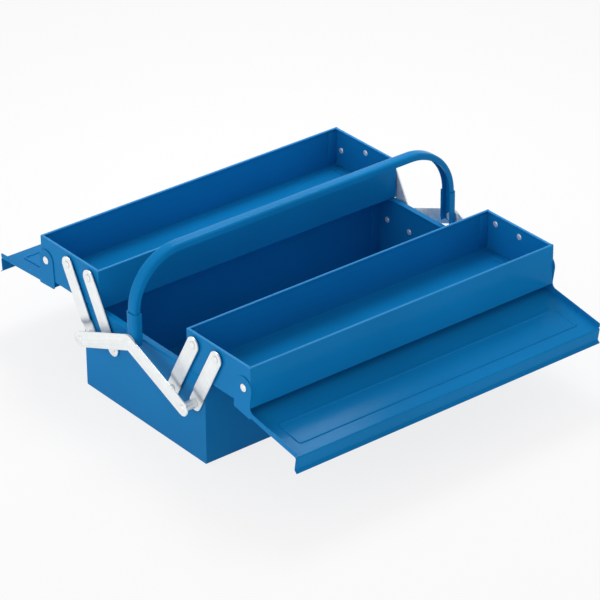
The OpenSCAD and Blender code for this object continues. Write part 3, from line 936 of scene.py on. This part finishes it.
def rivet_parts(node):
    """The rivets of a node: a closed end inside the end wall, a shank, and a low domed head outside."""
    rivet = settings("rivet")
    low, high = span(node)
    head_r, z = (high[2] - low[2]) / 2, (high[2] + low[2]) / 2
    made = []
    for y in sorted({round(low[1] + head_r, 6), round(high[1] - head_r, 6)}):
        start = high[0] - rivet.head
        if node == "outer_base_pins":
            start = span(("rear" if y > 0 else "front") + "_handle_bar_right")[1][0]
        tail = joined(END_IN - rivet.tail_h * np.sin(DOME), rivet.tail * np.cos(DOME * TAIL_CURVE))
        head = joined(start + rivet.head * np.sin(DOME), head_r * np.cos(DOME * HEAD_CURVE))
        sides = [(END_IN, rivet.tail), (END_IN, rivet.shank), (start, rivet.shank), (start, head_r)]
        made.append(turned(np.concatenate([tail[::-1], sides, head]), y, z))
    return made + [mirrored(part, 0) for part in made]


# ---- Stage ----


MIDDLE = (0, 0, 0.1)
LAMPS = {  # place, size and aim of each lamp, in metres
    "left": ((-2.6, -0.4, 0.95), 1.9, MIDDLE),
    "near": ((0.28, 0.33, 0.95), 0.45, (-0.12, -0.22, 0.1)),
    "rear": ((0.75, 1.15, 0.9), 0.6, MIDDLE),
}
FLOOR_REACH = 12  # half the floor's side, in metres
SENSOR = 36  # width of the camera's sensor in millimetres
NEAREST, FARTHEST = 0.1, 60  # how near and how far the camera sees, in metres


def add_floor(look):
    """A matt floor that keeps the shadow, and shows a share of plain white to the eye and in reflections."""
    f = Finish("pale_floor")
    cloud = f.noise(f.here(), scale=1.5, detail=2)
    colour = f.ramp(cloud, 0.3, shade(look.floor, look.floor_low), 0.7, shade(look.floor))
    inputs = {"Base Color": colour, "Roughness": 0.9, "Specular IOR Level": 0}
    matt = f.make("ShaderNodeBsdfPrincipled", {}, inputs)
    white = f.make("ShaderNodeEmission", {}, {"Color": WHITE, "Strength": 1.0})
    rays = [f"Is {kind} Ray" for kind in ("Camera", "Glossy", "Transmission")]
    camera, glossy, through = (f.make("ShaderNodeLightPath", output=ray) for ray in rays)
    seen = f.math("MINIMUM", camera + glossy + through, 1.0)
    f.end("Material", f.make("ShaderNodeMixShader", {}, {0: look.glow * seen, 1: matt, 2: white}))
    r = FLOOR_REACH
    corners = [(-r, -r, 0), (r, -r, 0), (r, r, 0), (-r, r, 0)]
    mesh = bpy.data.meshes.new("floor")
    mesh.from_pydata(corners, [], [(0, 1, 2, 3)])
    mesh.materials.append(f.owner)
    add_object("floor", mesh)


def add_world(look):
    """A pale room all round, dimmer overhead."""
    f = Finish("pale_room", "worlds")
    ahead = f.make("ShaderNodeTexCoord", output="Generated")
    up = f.make("ShaderNodeSeparateXYZ", {}, {0: ahead}, output="Z")
    strength = f.between(up, look.sky, look.zenith)
    f.end("World", f.make("ShaderNodeBackground", {}, {"Color": WHITE, "Strength": strength}))
    bpy.context.scene.world = f.owner


def add_lamp(name, power, place, size, aim):
    """A square lamp that faces a point."""
    lamp = bpy.data.lights.new(name, "AREA")
    lamp.energy, lamp.shape, lamp.size = power, "SQUARE", size
    holder = add_object(name, lamp)
    holder.location = place
    holder.rotation_euler = (Vector(aim) - Vector(place)).to_track_quat("-Z", "Y").to_euler()


def add_camera(look):
    """The camera at its place, looking along the view direction, rolled about it."""
    data = bpy.data.cameras.new("camera")
    data.lens, data.sensor_width = look.lens, SENSOR
    data.clip_start, data.clip_end = NEAREST, FARTHEST
    camera = add_object("camera", data)
    aim = Vector(look.look).to_track_quat("-Z", "Y").to_matrix().to_4x4()
    roll = Matrix.Rotation(math.radians(look.roll), 4, "Z")
    camera.matrix_world = Matrix.Translation(look.eye) @ aim @ roll
    bpy.context.scene.camera = camera


# ---- Operators and panel ----


def painted(node, parts, kind="sheet", rim=None):
    """A painted piece in place of a CAD node."""
    add_piece(kind, parts, node, finish_of("blue_enamel", enamel_finish), rim=rim)


def plated(kind, node, parts, grain=None):
    """A zinc strip or rivet in place of a CAD node."""
    slot, look = ("zinc_bars", "zinc_strip") if kind == "strip" else ("zinc_rivets", "zinc_rivet")
    add_piece(kind, parts, node, finish_of(look, zinc_finish), grain=grain)


class TOOLBOX_OT_base(bpy.types.Operator):
    """Fold the base's shell and its two end plates"""

    bl_idname = "toolbox.base"
    bl_label = "Base"
    bl_options = {"UNDO"}

    def execute(self, context):
        painted("base_shell", base_shell_parts())
        for end in ENDS:
            painted(f"base_end_{end}", turned_to(base_end_parts(), end=end))
        return {"FINISHED"}


class TOOLBOX_OT_trays(bpy.types.Operator):
    """Fold the two trays"""

    bl_idname = "toolbox.trays"
    bl_label = "Trays"
    bl_options = {"UNDO"}

    def execute(self, context):
        for side in SIDES:
            painted(f"{side}_tray_shell", turned_to(tray_shell_parts(), side), rim=RIM_Z)
            for end in ENDS:
                parts = turned_to(tray_end_parts(), side, end)
                painted(f"{side}_tray_end_{end}", parts, rim=RIM_Z - GAP)
        return {"FINISHED"}


class TOOLBOX_OT_lids(bpy.types.Operator):
    """Press the two lids"""

    bl_idname = "toolbox.lids"
    bl_label = "Lids"
    bl_options = {"UNDO"}

    def execute(self, context):
        for side in SIDES:
            painted(f"{side}_lid", turned_to(lid_parts(side), side))
        return {"FINISHED"}


class TOOLBOX_OT_links(bpy.types.Operator):
    """Make the eight links and four handle bars"""

    bl_idname = "toolbox.links"
    bl_label = "Links and bars"
    bl_options = {"UNDO"}

    def execute(self, context):
        for side in SIDES:
            for end in ENDS:
                for which in ("outer", "inner"):
                    plated("strip", f"{side}_{which}_link_{end}", *link_parts(side, end, which))
                plated("strip", f"{side}_handle_bar_{end}", *bar_parts(side, end))
        return {"FINISHED"}


class TOOLBOX_OT_handle(bpy.types.Operator):
    """Bend the handle and its feet"""

    bl_idname = "toolbox.handle"
    bl_label = "Handle"
    bl_options = {"UNDO"}

    def execute(self, context):
        painted("handle_hoop", hoop_parts(), "channel")
        for end in ENDS:
            painted(f"handle_foot_{end}", turned_to(foot_parts(), end=end), "channel")
        return {"FINISHED"}


class TOOLBOX_OT_rivets(bpy.types.Operator):
    """Turn the rivets, and plate the other pins, the washers and the spacers"""

    bl_idname = "toolbox.rivets"
    bl_label = "Rivets and spacers"
    bl_options = {"UNDO"}

    def execute(self, context):
        rivets = ["inner_base_pins", "outer_base_pins"]
        rivets += [f"{side}_{kind}" for side in SIDES for kind in ("tray_pins", "lid_rivets")]
        for node in rivets:
            plated("turned", node, rivet_parts(node))
        for node, holder in frame["nodes"].items():
            if node.endswith(("pivot_rivets", "washers", "spacers")):
                holder.data.materials.clear()
                holder.data.materials.append(finish_of("zinc_rivet", zinc_finish))
        return {"FINISHED"}


class TOOLBOX_OT_stage(bpy.types.Operator):
    """Lay a pale floor, light it softly and set the camera"""

    bl_idname = "toolbox.stage"
    bl_label = "Stage"
    bl_options = {"UNDO"}

    def execute(self, context):
        look = settings("stage")
        context.scene.view_settings.view_transform = "Standard"
        add_floor(look)
        add_world(look)
        for name, (place, size, aim) in LAMPS.items():
            add_lamp(f"{name}_lamp", getattr(look, name), place, size, aim)
        add_camera(look)
        return {"FINISHED"}


class TOOLBOX_PT_panel(bpy.types.Panel):
    """The tool box's operators and settings"""

    bl_label = "Tool box"
    bl_idname = "TOOLBOX_PT_panel"
    bl_space_type = "VIEW_3D"
    bl_region_type = "UI"
    bl_category = "Tool box"

    def draw(self, context):
        for operator in OPERATORS:
            self.layout.operator(operator.bl_idname)
        for name, group in GROUPS.items():
            box = self.layout.box()
            for key in group.__annotations__:
                box.prop(getattr(context.scene, name), key)


OPERATORS = (
    TOOLBOX_OT_stage, TOOLBOX_OT_base, TOOLBOX_OT_trays, TOOLBOX_OT_lids,
    TOOLBOX_OT_links, TOOLBOX_OT_handle, TOOLBOX_OT_rivets,
)
GROUPS = {
    "tool_box_sheet": SheetSizes,
    "tool_box_lid": LidSizes,
    "tool_box_strip": StripSizes,
    "tool_box_rivet": RivetSizes,
    "tool_box_enamel": EnamelLook,
    "tool_box_zinc": ZincLook,
    "tool_box_stage": StageLook,
}


def register():
    for group in (*GROUPS.values(), *OPERATORS, TOOLBOX_PT_panel):
        bpy.utils.register_class(group)
    for name, group in GROUPS.items():
        setattr(bpy.types.Scene, name, bpy.props.PointerProperty(type=group))


def unregister():
    for name in GROUPS:
        delattr(bpy.types.Scene, name)
    for group in (TOOLBOX_PT_panel, *OPERATORS, *GROUPS.values()):
        bpy.utils.unregister_class(group)


def main():
    register()
    for operator in OPERATORS:
        group, name = operator.bl_idname.split(".")
        getattr(getattr(bpy.ops, group), name)()


if __name__ == "__main__":
    main()
